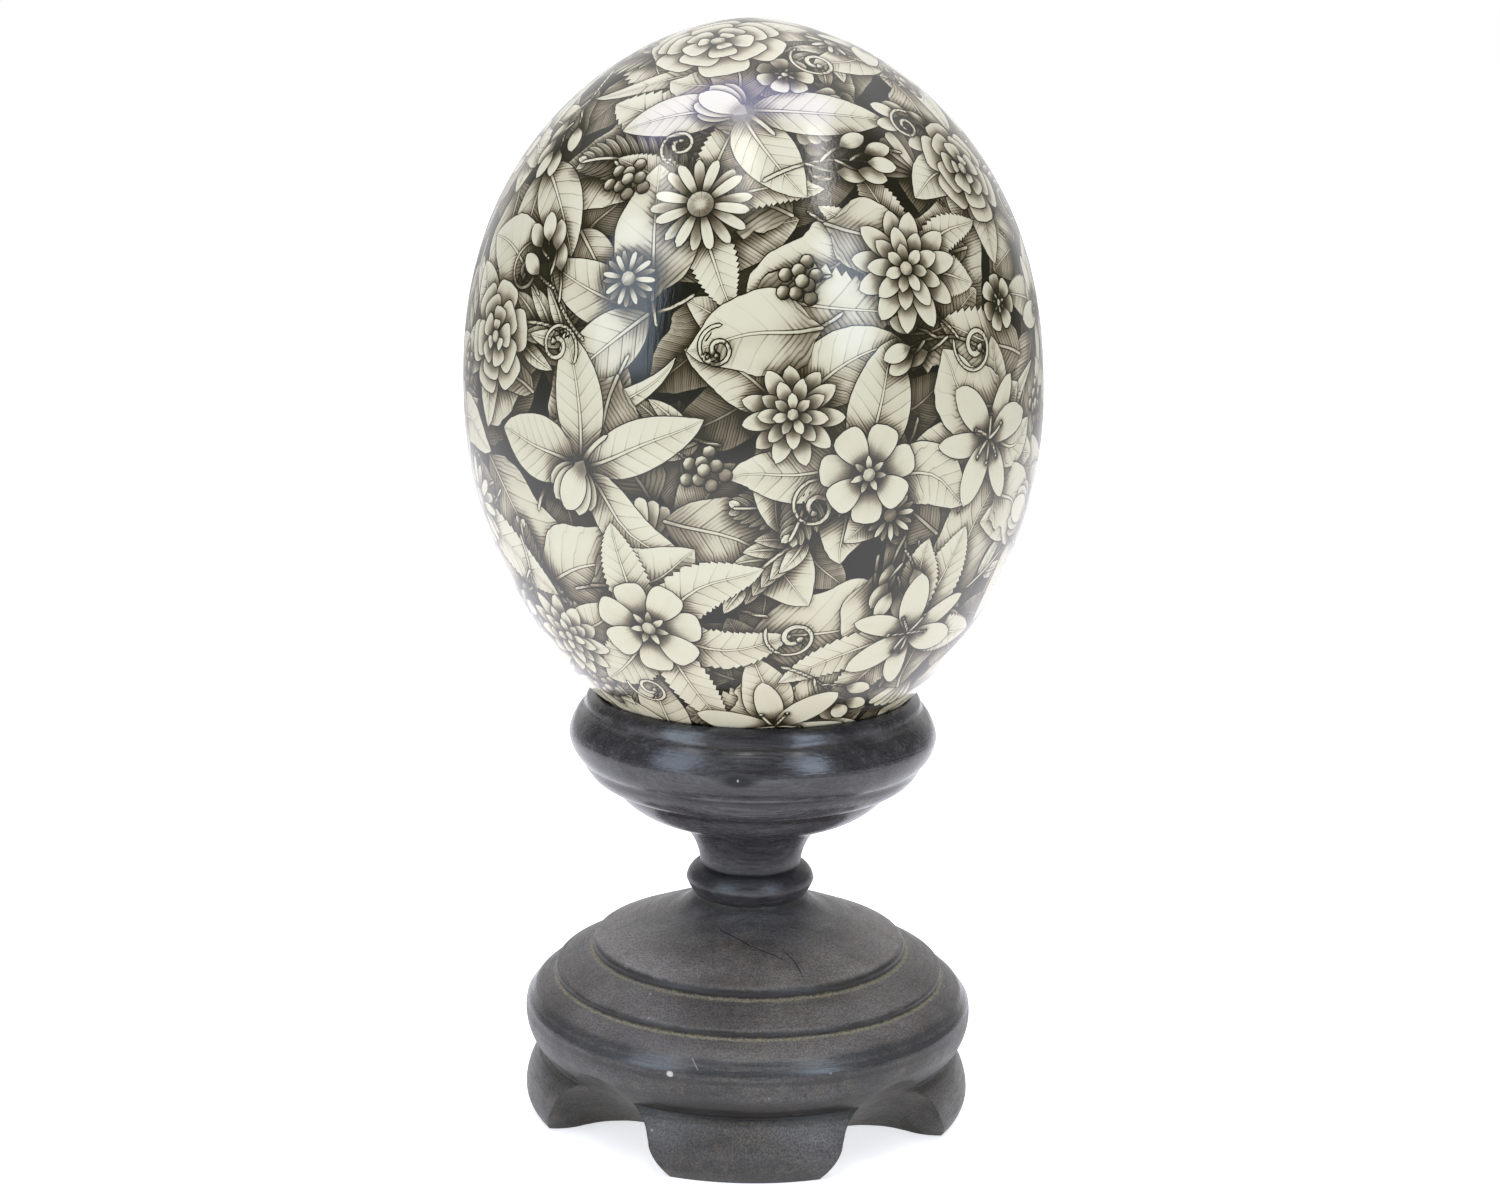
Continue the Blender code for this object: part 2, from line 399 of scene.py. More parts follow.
def leaf_ring(size, count, teeth):
    """Leaves that spread from one point, over part of a turn."""
    shapes = []
    turn = any_turn()
    fan_width = between(0.55, 1.0) * math.tau
    for number in range(count):
        heading = turn + fan_width * (number + between(-0.25, 0.25)) / count
        shapes.append(blade("leaf", towards(heading, 2.0), heading, size * between(18, 27), size * between(4.6, 6.4),
                            around(0, 0.45), (0.62, 0.85), between(0.9, 1.05), root=0.1,
                            sway=around(0, 0.2), teeth=teeth, veins=8.0))
    RANDOM.shuffle(shapes)
    return shapes


def frond(length):
    """A fern frond: a bent stem with paired leaflets."""
    steps = 24
    bend = RANDOM.choice([-1, 1]) * between(0.4, 1.1)
    line = bent_line((0.0, 0.0), -bend * 0.3, length, bend, steps)
    shapes = [strip(line, 0.5, 0.2)]
    pairs = int(length / 2.35)
    for number in range(pairs, 1, -1):
        at = number / (pairs + 0.5)
        low = int(at * steps)
        ahead = line[low + 1] - line[low]
        spot = line[low] + ahead * (at * steps - low)
        course = math.atan2(ahead[1], ahead[0])
        long = length * 0.26 * math.sin(math.pi * (0.12 + 0.88 * at)) ** 0.7 + 1.2
        for side in (-1, 1):
            shapes.append(blade("leaflet", spot, course + side * (1.12 - 0.45 * at), long, 1.12, -side * 0.35,
                                (0.5, 0.6), root=0.4, steps=3))
    return shapes


def sprig(length):
    """A stem with lance leaves on alternate sides."""
    bend = around(0, 0.6)
    line = bent_line((0.0, 0.0), 0.0, length, bend, 12)
    shapes = [blade("leaf", line[-1], bend, length * 0.42, 2.0, 0.2, root=0.2, steps=5, veins=5.0),
              strip(line, 0.45, 0.3)]
    for number in range(1, 11):
        side = 1 if number % 2 else -1
        shapes.append(blade("leaf", line[number + 1], bend * number / 12 + side * 0.72,
                            length * (0.50 - 0.014 * number), 2.15, -side * 0.4, root=0.15, steps=5, veins=5.0))
    return shapes


def fan(size):
    """A fan-shaped leaf of narrow rounded lobes."""
    shapes = [blade("petal", (0, 0), number * 0.24, size * (14.5 - 0.30 * abs(number)), size * 1.95,
                    number * 0.03, (1.0, 0.30), root=0.1, steps=4, rounded=True, veins=4.0)
              for number in (0, 1, -1, 2, -2, 3, -3, 4, -4)]
    return [*shapes, stalk(9.0 * size, 0.5, 0.6, 0.5)]


def curl(size):
    """A tendril that ends in a spiral."""
    side = RANDOM.choice([-1, 1])
    points = [np.array((0.0, 0.0))]
    turned_by = 0.0
    step = 0.76
    for _ in range(48):
        points.append(points[-1] + np.array(towards(side * turned_by, step * size)))
        turned_by += step / (7.5 * math.exp(-0.165 * turned_by))
    return [disc(points[-1], 1.15 * size), strip(points, 0.35 * size, 0.85 * size)]


def bud_spray(length):
    """An arching stem of buds on short stalks."""
    bend = RANDOM.choice([-1, 1]) * between(0.5, 1.1)
    line = bent_line((0.0, 0.0), 0.0, length, bend, 14)
    shapes = []
    for number, side, stalk in ((14, 0, 1.0), (12, 1, 4.5), (10, -1, 5.5), (8, 1, 6.5), (6, -1, 7.0)):
        heading = bend * number / 14 + side * 0.7
        bud = bent_line(line[number], heading, stalk, -side * 0.35, 4)
        heading -= side * 0.35
        shapes.append(blade("petal", bud[-1], heading, 6.4, 2.1, 0.0, (0.55, 0.6), root=0.3, steps=3, veins=4.0))
        for lean in (-0.5, 0.5):
            shapes.append(blade("leaflet", bud[-1], heading + lean, 3.6, 0.9, -lean, (0.5, 0.7), 0.95,
                                root=0.4, steps=3))
        shapes.append(strip(bud, 0.34, 0.34, 0.95))
    shapes.append(strip(line, 0.55, 0.36, 0.95))
    return shapes


def berries(size):
    """A bunch of berries on a stem."""
    shapes = []
    for number in range(9):
        x, y = towards(number * 2.4, 1.75 * size * math.sqrt(number))
        shapes.append(disc((6 + x, y), 1.75 * size))
    return [*shapes, stalk(6.0, 0.3, 0.5, 0.4, 0.9, steps=5, heading=0.0)]


def one_leaf(size, width, bend, belly, bright=1.0, **look):
    """A single leaf, with its middle near the motif's."""
    return blade("leaf", (-0.4 * size, 0), 0.0, size, width, bend, belly, bright, **look)


def broad_leaf(size, bright):
    """One large leaf with a swaying spine."""
    return [one_leaf(size, size * between(0.23, 0.29), around(0, 0.5), (0.62, 0.75), bright, root=0.1,
                     steps=10, veins=between(8, 12), sway=around(0, 0.28), wavy=between(0.02, 0.10),
                     fold=between(0.05, 0.24), ink=between(0.35, 0.7))]


def heart_leaf(size):
    """A wide smooth leaf, broadest near its stalk."""
    stem = stalk(0.3 * size, around(0, 0.5), 0.6, 0.12, start=(-0.38 * size, 0.0))
    return [one_leaf(size, size * between(0.33, 0.40), around(0, 0.35), (0.42, 0.85), root=0.3,
                     steps=10, sway=around(0, 0.3), veins=5.0, wavy=0.03, fold=0.07, ink=0.40),
            stem]


def jagged_leaf(size):
    """A leaf with deep teeth."""
    return [one_leaf(size, size * between(0.27, 0.31), around(0, 0.5), (0.55, 0.8), root=0.1,
                     steps=10, sway=around(0, 0.15), teeth=0.055 * size, veins=5.5)]


def long_leaf(size):
    """A long narrow leaf that sways."""
    return [one_leaf(size, between(3.2, 4.3), around(0, 0.8), (0.35, 0.8), root=0.1,
                     steps=14, sway=around(0, 0.4), veins=9.0, fold=0.12)]


def leaf_pair(size):
    """Two leaves on one short stem."""
    shapes = [blade("leaf", (0, 0), heading, size * between(0.85, 1.05), size * 0.24, around(0, 0.4),
                    (0.62, 0.85), 0.97, root=0.1, veins=7.0) for heading in (0.45, -0.45)]
    return [*shapes, stalk(size * 0.4, 0.5, 0.5, 0.4, 0.97)]


def spread(count, turn, jitter):
    """Even directions over a sphere, each moved a little at random."""
    number = np.arange(count) + 0.5
    height = 1 - 2 * number / count
    angle = number * math.pi * (3 - math.sqrt(5)) + turn
    ring = np.sqrt(1 - height ** 2)
    directions = np.stack([ring * np.cos(angle), ring * np.sin(angle), height], axis=1)
    return units(directions + around(0, jitter, directions.shape))


def composition():
    """Every motif as (level, direction, turn, shapes), sorted from the top down."""
    motifs = []
    open_blossom, daisy = blossom(OPEN_BLOSSOM), blossom(DAISY, 3.1, 0.85)
    blooms = (blossom(DAHLIA), open_blossom, blossom(ROSE), lily, daisy, tulip)

    def add(level, direction, shapes):
        motifs.append((level, direction, any_turn(), shapes))

    def scatter(count, turn, jitter, lowest, range_, *makers):
        """Motifs all over the egg, made by each of the makers in turn."""
        for number, direction in enumerate(spread(count, turn, jitter)):
            add(lowest + between(0, range_), direction, makers[number % len(makers)]())

    for number, direction in enumerate(spread(42, 0.4, 0.09)):
        bloom = blooms[(number + int(RANDOM.integers(2))) % len(blooms)]
        add(9 + between(0, 1), direction, bloom(between(0.68, 1.08)))
        teeth = 0.0 if number % 3 else 0.7
        add(6 + between(-0.5, 1.5), direction,
            leaf_ring(between(0.85, 1.25), int(RANDOM.integers(3, 6)), teeth))
        if number % 2:
            add(4.5 + between(-1, 3), direction, frond(between(26, 36)))
        else:
            add(4.0 + between(-1, 2), direction, long_leaf(between(40, 58)))
    scatter(40, 1.3, 0.10, 7.2, 2, lambda: curl(between(0.62, 0.9)))
    scatter(20, 2.1, 0.10, 8, 1, lambda: berries(0.9))
    scatter(22, 0.2, 0.10, 7.5, 1, lambda: bud_spray(between(20, 26)))
    scatter(18, 5.2, 0.10, 7, 1.5, lambda: (open_blossom, daisy)[RANDOM.integers(2)](0.55))
    scatter(44, 2.7, 0.08, 5, 2.5, lambda: heart_leaf(between(20, 28)))
    scatter(112, 0.9, 0.06, 2.5, 3,
            lambda: sprig(between(20, 26)), lambda: fan(between(0.8, 1.1)),
            lambda: jagged_leaf(between(26, 34)), lambda: leaf_pair(between(20, 27)))
    scatter(64, 4.1, 0.06, 1, 2.5, lambda: broad_leaf(between(32, 44), between(0.85, 1.0)))
    scatter(170, 3.0, 0.04, 0, 1, lambda: broad_leaf(between(20, 28), between(0.40, 0.70)))
    motifs.sort(key=lambda motif: -motif[0])
    return motifs


def paint(points, squares, motifs):
    """Lay every motif on the egg from the top down. Returns each layer's fields at each square's corners."""
    centres = points[squares].mean(axis=1)
    light = np.ones(len(points))
    closed = np.zeros(len(squares), bool)
    used = np.zeros(len(squares), int)
    layers = np.zeros((PAINT_LAYERS, len(squares), 4, len(FIELDS)), np.float32)
    layers[..., FIELDS.index("deep")] = -9.0
    for _, direction, turn, shapes in motifs:
        spot = egg_points(direction[None])[0]
        normal = units(spot / np.array((EGG_RADIUS ** 2, EGG_RADIUS ** 2, EGG_ABOVE ** 2)))
        east = np.cross((0.0, 0.0, 1.0), normal)
        east /= max(np.linalg.norm(east), 1e-6)
        north = np.cross(normal, east)
        ahead = math.cos(turn) * east + math.sin(turn) * north
        left = np.cross(normal, ahead)
        lamp = -0.6 * east + 0.8 * north
        light_from = np.array((lamp @ ahead, lamp @ left))
        reach = max(np.abs(shape["line"]).max() + shape["wide"].max() for shape in shapes) * 1.3 + 5
        near = np.nonzero(((centres - spot) ** 2).sum(axis=1) < reach ** 2)[0]
        near = near[~closed[near]]
        if not len(near):
            continue
        corner_ids, inverse = np.unique(squares[near].ravel(), return_inverse=True)
        inverse = inverse.reshape(-1, 4)
        offset = points[corner_ids] - spot
        flat = np.stack([offset @ ahead, offset @ left], axis=1)
        chord = lengths_of(offset)
        size = np.maximum(lengths_of(flat), 1e-6)
        flat *= (chord * (1 + chord ** 2 / ARC_TERM) / size)[:, None]
        flat[chord > WIDEST_CHORD] = 999.0
        middle = flat[inverse].mean(axis=1)
        for shape in shapes:
            heart = shape["line"].mean(axis=0)
            radius = lengths_of(shape["line"] - heart).max() + shape["wide"].max() + 4.5
            pick = np.nonzero((((middle - heart) ** 2).sum(axis=1) < radius ** 2) & ~closed[near])[0]
            if not len(pick):
                continue
            ids, back = np.unique(inverse[pick].ravel(), return_inverse=True)
            back = back.reshape(-1, 4)
            values = fields_of(shape, flat[ids], light_from)
            inside = np.minimum(values["deep"], values["half"] - np.abs(values["across"]))
            values["tone"] = values["tone"] * (0.10 + 0.90 * light[corner_ids[ids]])
            corner_depth = inside[back]
            free = used[near[pick]] < PAINT_LAYERS
            add = np.nonzero((corner_depth.max(axis=1) > -EDGE_REACH) & free)[0]
            target = near[pick[add]]
            for slot, name in enumerate(FIELDS):
                layers[used[target], target, :, slot] = values[name][back[add]]
            used[target] += 1
            closed[near[pick]] |= corner_depth.min(axis=1) > CLOSED_DEPTH + shape["teeth"]
            strength, fade = (0.5, 0.8) if shape["kind"] in ("stem", "berry") else (0.62, 1.7)
            light[corner_ids[ids]] *= 1 - strength * np.exp(-np.clip(-inside, 0, None) / fade)
    return layers


# ---- shader helpers

class Value:
    """A shader socket. Arithmetic on it adds math nodes."""

    def __init__(self, graph, socket):
        self.graph = graph
        self.socket = socket

    def __rsub__(self, other):
        return self.graph.math("SUBTRACT", other, self)


for method, kind in {"__add__": "ADD", "__radd__": "ADD", "__sub__": "SUBTRACT", "__mul__": "MULTIPLY",
                     "__rmul__": "MULTIPLY", "__truediv__": "DIVIDE", "__pow__": "POWER",
                     "__abs__": "ABSOLUTE"}.items():
    setattr(Value, method, lambda self, *other, kind=kind: self.graph.math(kind, self, *other))


class Graph:
    """Adds nodes to a node tree with short calls."""

    def __init__(self, tree):
        self.tree = tree

    def put(self, socket, value):
        """Link a socket, or set a number, vector or colour."""
        if isinstance(value, Value):
            self.tree.links.new(value.socket, socket)
        elif socket.type == "RGBA":
            socket.default_value = (*value, 1.0)
        else:
            socket.default_value = value

    def node(self, kind, inputs=None, **settings):
        """A node with the given inputs and settings."""
        made = self.tree.nodes.new(kind)
        for name, value in settings.items():
            setattr(made, name, value)
        for name, value in (inputs or {}).items():
            self.put(made.inputs[name], value)
        return made

    def value(self, kind, inputs=None, output=0, **settings):
        """One output of a new node."""
        return Value(self, self.node(kind, inputs, **settings).outputs[output])

    def math(self, operation, *values, clamp=False):
        """A math node."""
        return self.value("ShaderNodeMath", dict(enumerate(values)), operation=operation, use_clamp=clamp)

    def most(self, first, second):
        """The greater of two numbers."""
        return self.math("MAXIMUM", first, second)

    def least(self, first, second):
        """The smaller of two numbers."""
        return self.math("MINIMUM", first, second)

    def ramp(self, value, low, high, start=0.0, end=1.0):
        """A smooth step from start at low to end at high."""
        inputs = {"Value": value, "From Min": low, "From Max": high, "To Min": start, "To Max": end}
        return self.value("ShaderNodeMapRange", inputs, interpolation_type="SMOOTHSTEP", clamp=True)

    def mix(self, share, first, second):
        """A blend of two numbers."""
        return self.value("ShaderNodeMix", {0: share, 2: first, 3: second}, data_type="FLOAT")

    def blend(self, share, first, second, mode="MIX"):
        """A blend of two colours."""
        return self.value("ShaderNodeMix", {0: share, 6: first, 7: second}, 2, data_type="RGBA", blend_type=mode)

    def vectors(self, operation, *values, output="Vector"):
        """A vector math node."""
        return self.value("ShaderNodeVectorMath", dict(enumerate(values)), output, operation=operation)

    def split(self, vector):
        """The three parts of a vector."""
        return [Value(self, socket) for socket in self.node("ShaderNodeSeparateXYZ", {0: vector}).outputs]

    def vector(self, x, y, z):
        """A vector from three numbers."""
        return self.value("ShaderNodeCombineXYZ", {0: x, 1: y, 2: z})

    def stretched(self, vector, x, y, z):
        """A vector times a number along each axis."""
        return self.vectors("MULTIPLY", vector, (x, y, z))

    def from_line(self, where, start, end):
        """The distance from a straight line between two points."""
        start = Vector(start) * MM
        run = Vector(end) * MM - start
        offset = self.vectors("SUBTRACT", where, start)
        share = self.vectors("DOT_PRODUCT", offset, run / run.length_squared, output="Value")
        share = self.math("MULTIPLY", share, 1.0, clamp=True)
        along = self.value("ShaderNodeVectorMath", {0: run, "Scale": share}, operation="SCALE")
        return self.vectors("LENGTH", self.vectors("SUBTRACT", offset, along), output="Value")

    def from_oval(self, where, centre, half_sizes):
        """How far from an oval's centre: 1 at its skin."""
        offset = self.vectors("SUBTRACT", where, Vector(centre) * MM)
        scaled = self.stretched(offset, *(1 / (half * MM) for half in half_sizes))
        return self.vectors("LENGTH", scaled, output="Value")

    def noise(self, vector, scale, detail=2.0, roughness=0.5):
        """A noise value."""
        return self.value("ShaderNodeTexNoise",
                          {"Vector": vector, "Scale": scale, "Detail": detail, "Roughness": roughness})

    def colours(self, value, stops):
        """A colour ramp from (place, colour) stops."""
        made = self.node("ShaderNodeValToRGB", {0: value})
        elements = made.color_ramp.elements
        while len(elements) < len(stops):
            elements.new(0.5)
        for element, (place, colour) in zip(elements, stops):
            element.position = place
            element.color = (*colour, 1.0)
        return Value(self, made.outputs[0])

    def bump(self, relief, **more):
        """A surface normal raised by a relief in metres."""
        return self.value("ShaderNodeBump", {"Distance": 1.0, "Height": relief, **more})


def new_material(name):
    """A node material, its graph, and a call that sets its shader's inputs."""
    material = bpy.data.materials.new(name)
    material.use_nodes = True
    material.node_tree.nodes.clear()
    graph = Graph(material.node_tree)
    shader = graph.node("ShaderNodeBsdfPrincipled")
    graph.node("ShaderNodeOutputMaterial", {"Surface": Value(graph, shader.outputs[0])})

    def finish(inputs):
        for socket, value in inputs.items():
            graph.put(shader.inputs[socket], value)

    return material, graph, finish


# ---- painted shell

PAINTS = (
    (0.0, (0.0060, 0.0060, 0.0020)),
    (0.16, (0.029, 0.0225, 0.0085)),
    (0.38, (0.190, 0.154, 0.098)),
    (0.60, (0.458, 0.415, 0.294)),
    (0.82, (0.538, 0.496, 0.356)),
    (1.0, (0.568, 0.529, 0.390)),
)
INK_TONE = 0.02


def layer_group():
    """A node group that paints one layer over the tone below it."""
    group = bpy.data.node_groups.new("painted layer", "ShaderNodeTree")
    group.interface.new_socket("Below", in_out="INPUT", socket_type="NodeSocketFloat")
    for name in LAYER_FIELDS:
        group.interface.new_socket(name, in_out="INPUT", socket_type="NodeSocketVector")
    group.interface.new_socket("Tone", in_out="OUTPUT", socket_type="NodeSocketFloat")
    graph = Graph(group)
    below, *fields = [Value(graph, socket) for socket in graph.node("NodeGroupInput").outputs[:4]]
    (deep, across, half), (pattern, amount, rib), (tone, teeth, fold) = [graph.split(field) for field in fields]
    reach = abs(across)
    place = graph.math("FRACT", pattern)
    notch = graph.math("FRACT", pattern * 2.0)
    inside = graph.least(deep, half - reach - teeth * notch)
    cover = graph.ramp(inside, -EDGE_REACH, -0.04)
    rim = graph.ramp(inside, 0.13, 0.24, 1.0, 0.0)
    vein = graph.ramp(abs(place - 0.5), 0.43, 0.49) * amount
    slope = (1.0 - place) ** 1.6 * fold
    stroke = graph.ramp(abs(graph.math("FRACT", pattern * 4.0) - 0.5), 0.22, 0.46)
    stroke = stroke * graph.ramp(tone, 0.80, 0.40, 0.0, 0.36)
    glow = graph.ramp(inside, 0.2, 1.5, 0.16, 0.0) * tone
    shade = (tone * (1.0 - slope) * (1.0 - stroke) + glow) * (1.0 - vein * 0.7)
    ratio = reach / graph.most(rib, 0.001)
    core = graph.ramp(ratio, 0.5, 0.75, 1.0, 0.0)
    side = graph.ramp(ratio, 0.55, 0.85) * graph.ramp(ratio, 1.05, 1.5, 1.0, 0.0)
    shade = graph.mix(core, shade, graph.math("MULTIPLY", tone, 1.45, clamp=True))
    shade = graph.mix(rim, shade * (1.0 - side * 0.65), INK_TONE)
    graph.node("NodeGroupOutput", {"Tone": graph.mix(cover, below, shade)})
    return group


def painted_shell():
    """Sepia line painting on ivory shell under clear gloss lacquer laid on with a brush."""
    material, graph, finish = new_material("painted shell")
    group = layer_group()
    where = graph.value("ShaderNodeTexCoord", output="Object")
    fine = graph.noise(where, 900.0, 3.0, 0.6)
    broad = graph.noise(where, 60.0, 3.0, 0.5)
    tone = graph.ramp(broad, 0.3, 0.7, 0.0, 0.05)
    for number in reversed(range(PAINT_LAYERS)):
        inputs = {"Below": tone}
        for name in LAYER_FIELDS:
            inputs[name] = graph.value("ShaderNodeAttribute", output="Vector",
                                       attribute_name="%s%d" % (name, number))
        tone = graph.value("ShaderNodeGroup", inputs, "Tone", node_tree=group)
    loose = (fine - 0.5) * 0.16 + (broad - 0.5) * 0.22 + 1.0
    strokes = graph.noise(graph.stretched(where, 1500.0, 1500.0, 75.0), 1.0, 2.0, 0.6)
    waves = graph.noise(where, 42.0, 1.0)
    finish({
        "Base Color": graph.colours(graph.math("MULTIPLY", tone, loose, clamp=True), PAINTS),
        "Roughness": 0.55,
        "Specular IOR Level": 0.0,
        "Coat Weight": 1.0,
        "Coat Roughness": 0.16,
        "Coat IOR": 1.5,
        "Coat Normal": graph.bump(strokes * (0.026 * MM) + waves * (0.08 * MM)),
    })
    return material


# ---- dark wood

# Rings of the stand as (radius, height, reach, strength).
DUST_RINGS = ((36.8, 37.2, 0.90, 1.0), (45.3, 31.4, 0.82, 1.0), (48.2, 13.0, 0.8, 0.25), (13.4, 50.6, 0.8, 0.12))
# Painted shade: darker rings in the creases of the turned outline, under the disc edges, on the cup's underside
# ridges, round the neck and between the roll and the feet.
SHADE_RINGS = ((36.8, 38.9, 2.0, 0.90), (45.6, 32.6, 1.2, 0.85), (50.7, 18.0, 2.6, 0.6), (49.5, 16.2, 2.2, 0.8),
              (48.1, 14.0, 2.4, 0.9), (12.9, 51.0, 1.6, 0.7), (52.1, 23.7, 0.9, 0.55), (38.9, 83.0, 1.5, 0.7),
              (32.2, 77.2, 1.5, 0.7), (11.8, 58.0, 1.8, 0.5))
# The polished band on the roll: less rough, and tinted cool in colour as a painted sheen.
SHEEN_BAND_RINGS = ((50.4, 27.8, 1.7, 0.9), (51.6, 26.2, 1.7, 1.0))
# Edges rubbed paler: partly worn stain, partly a painted highlight on the ring edges.
RUBBED_HIGHLIGHT_RINGS = ((38.9, 96.9, 1.6, 0.5), (39.6, 84.3, 1.0, 1.0), (33.4, 78.5, 1.0, 1.0), (14.9, 54.6, 1.2, 0.4),
                (35.6, 40.2, 1.4, 0.4))
# Belts painted paler as painted light, where the disc's top and the cup's underside catch more light, as (height,
# reach of the full strength, reach, strength).
PAINTED_LIGHT_BELTS = ((43.5, 4.5, 7.0, 0.75), (79.0, 3.0, 7.5, 0.55))
CRACKS = (((-6.4, -17.0, 46.8), (0.2, -22.6, 45.3), (7.5, -26.3, 43.5)),
          ((8.4, -24.2, 44.2), (10.4, -26.7, 42.9), (11.8, -29.9, 41.5)),
          ((-15.0, 12.5, 46.2), (-19.5, 15.0, 44.2), (-25.5, 22.0, 41.0)))
SCRATCH = ((-12.0, -48.5, 28.3), (-10.7, -50.3, 26.3))
# Ovals as (centre, half sizes).
KNOT = ((-3.1, -42.3, 89.3), (4.8, 4.0, 2.0))
KNOT_PIN = ((-3.1, -42.3, 89.5), (0.30, 0.8, 0.38))
FLECK = ((-16.8, -49.3, 24.8), (0.80, 1.2, 0.72))

STAIN = ((0.36, (0.021, 0.019, 0.020)), (0.50, (0.036, 0.034, 0.036)), (0.64, (0.066, 0.063, 0.066)))
WORN_STAIN = ((0.36, (0.025, 0.020, 0.017)), (0.50, (0.043, 0.038, 0.035)), (0.64, (0.066, 0.061, 0.059)))
PORE = (0.012, 0.010, 0.009)
# Pale dust film, which also paints light: paler on upward faces, less near the neck under the cup.
DUST_AND_TOP_LIGHT = (0.165, 0.148, 0.132)
EARTH = (0.082, 0.066, 0.051)
# Pale rubbed edges, partly a painted highlight.
RUBBED_AND_HIGHLIGHT = (0.180, 0.170, 0.165)
# Cool tint of the polished band: a painted sheen.
POLISHED_SHEEN_TINT = (0.036, 0.039, 0.044)
# Painted shade in the creases.
CREASE_SHADE = (0.011, 0.009, 0.008)
DUST = (0.265, 0.232, 0.150)
CRACK = (0.007, 0.006, 0.006)
KNOT_WOOD = (0.007, 0.006, 0.007)
CHIP = (0.540, 0.520, 0.470)


def dark_wood():
    """Worn black-brown stained wood: grain, turning marks, dusty grooves, rubbed edges, a knot, cracks, painted
    light and shade.
    """
    material, graph, finish = new_material("dark wood")
    where = graph.value("ShaderNodeTexCoord", output="Object")
    up = graph.split(graph.value("ShaderNodeNewGeometry", output="Normal"))[2]
    x, y, height = graph.split(where)
    radius = (x * x + y * y) ** 0.5
    angle = graph.math("ARCTAN2", y, x)
    figure = graph.noise(graph.stretched(where, 22.0, 240.0, 240.0), 1.0, 3.0, 0.60)
    fibre = graph.noise(graph.stretched(where, 95.0, 1500.0, 1500.0), 1.0, 2.0, 0.6)
    pores = graph.ramp(graph.noise(graph.stretched(where, 260.0, 2300.0, 2300.0), 1.0, 0.0), 0.62, 0.72)
    blotch = graph.noise(where, 58.0, 2.0, 0.55)
    grit = graph.noise(where, 2300.0, 1.0, 0.6)
    tool_marks = graph.noise(graph.vector(radius * 1500.0, height * 2400.0, angle * 4.5), 1.0, 1.0, 0.6)
    ragged = (graph.noise(where, 420.0, 3.0, 0.7) - 0.5) * (1.3 * MM)

    def near_rings(rings):
        """The strongest of some rings: its strength on the ring, down to 0 at a ragged distance from it."""
        nearest = 0.0
        for ring_radius, ring_height, reach, strength in rings:
            out = radius - ring_radius * MM
            rise = height - ring_height * MM
            away = (out * out + rise * rise) ** 0.5 + ragged
            nearest = graph.most(nearest, graph.ramp(away, 0.2 * reach * MM, reach * MM, strength, 0.0))
        return nearest

    low_part = graph.ramp(height + blotch * (6.0 * MM), 53.5 * MM, 47.5 * MM)
    # A dust film that is also painted light: paler on upward faces and out from the neck, which lies in the cup's
    # shade.
    dust_and_top_light = graph.ramp(up, -0.1, 0.95) * graph.ramp(blotch, 0.36, 0.64, 0.22, 0.42)
    dust_and_top_light = dust_and_top_light * graph.mix(low_part, 0.12, 1.0) * graph.ramp(radius, 13.0 * MM, 36.0 * MM, 0.25, 1.0)
    earthy = graph.ramp(graph.noise(where, 190.0, 2.0, 0.7), 0.50, 0.68, 0.0, 0.45)
    mottle = graph.mix(graph.mix(low_part, 0.35, 1.0), 1.0, graph.ramp(grit, 0.30, 0.72, 0.66, 1.52))
    # Painted light: the disc's top and the cup's underside are made paler.
    painted_light = 1.0
    for middle, full, reach, strength in PAINTED_LIGHT_BELTS:
        painted_light = graph.ramp(abs(height - middle * MM), full * MM, reach * MM, strength, 0.0) + painted_light
    mottle = mottle * painted_light
    # Worn stain and painted highlight on the ring edges.
    rubbed_and_highlight = near_rings(RUBBED_HIGHLIGHT_RINGS) * graph.ramp(figure, 0.36, 0.60, 0.25, 1.0)
    # Real polish for the roughness, and a painted sheen for the colour.
    polished_and_sheen = near_rings(SHEEN_BAND_RINGS)
    dust = near_rings(DUST_RINGS) * graph.ramp(grit, 0.40, 0.60, 0.30, 0.95)
    from_crack = 1.0
    for crack in CRACKS:
        for start, end in zip(crack, crack[1:]):
            from_crack = graph.least(from_crack, graph.from_line(where, start, end))
    cracks = graph.ramp(from_crack + ragged * 0.30, 0.08 * MM, 0.30 * MM, 1.0, 0.0)
    knot = graph.ramp(graph.from_oval(where, *KNOT) - figure * 0.5, 0.10, 0.95, 1.0, 0.0)
    chips = graph.ramp(graph.from_oval(where, *KNOT_PIN), 0.5, 1.0, 0.6, 0.0)
    fleck = graph.from_oval(where, *FLECK) + ragged * 300.0
    chips = graph.most(chips, graph.ramp(fleck, 0.7, 1.05, 0.9, 0.0))
    chips = graph.most(chips, graph.ramp(graph.from_line(where, *SCRATCH), 0.03 * MM, 0.18 * MM, 0.35, 0.0))
    cells = graph.node("ShaderNodeTexVoronoi", {"Vector": where, "Scale": 150.0}, feature="F1")
    chosen = graph.ramp(graph.split(Value(graph, cells.outputs["Color"]))[0], 0.66, 0.69)
    spots = graph.ramp(Value(graph, cells.outputs["Distance"]), 0.03, 0.06, 0.35, 0.0) * chosen
    chips = graph.most(chips, spots * low_part)

    colour = graph.blend(low_part * 0.9, graph.colours(figure * 0.6 + fibre * 0.4, STAIN),
                         graph.colours(figure * 0.5 + blotch * 0.5, WORN_STAIN))
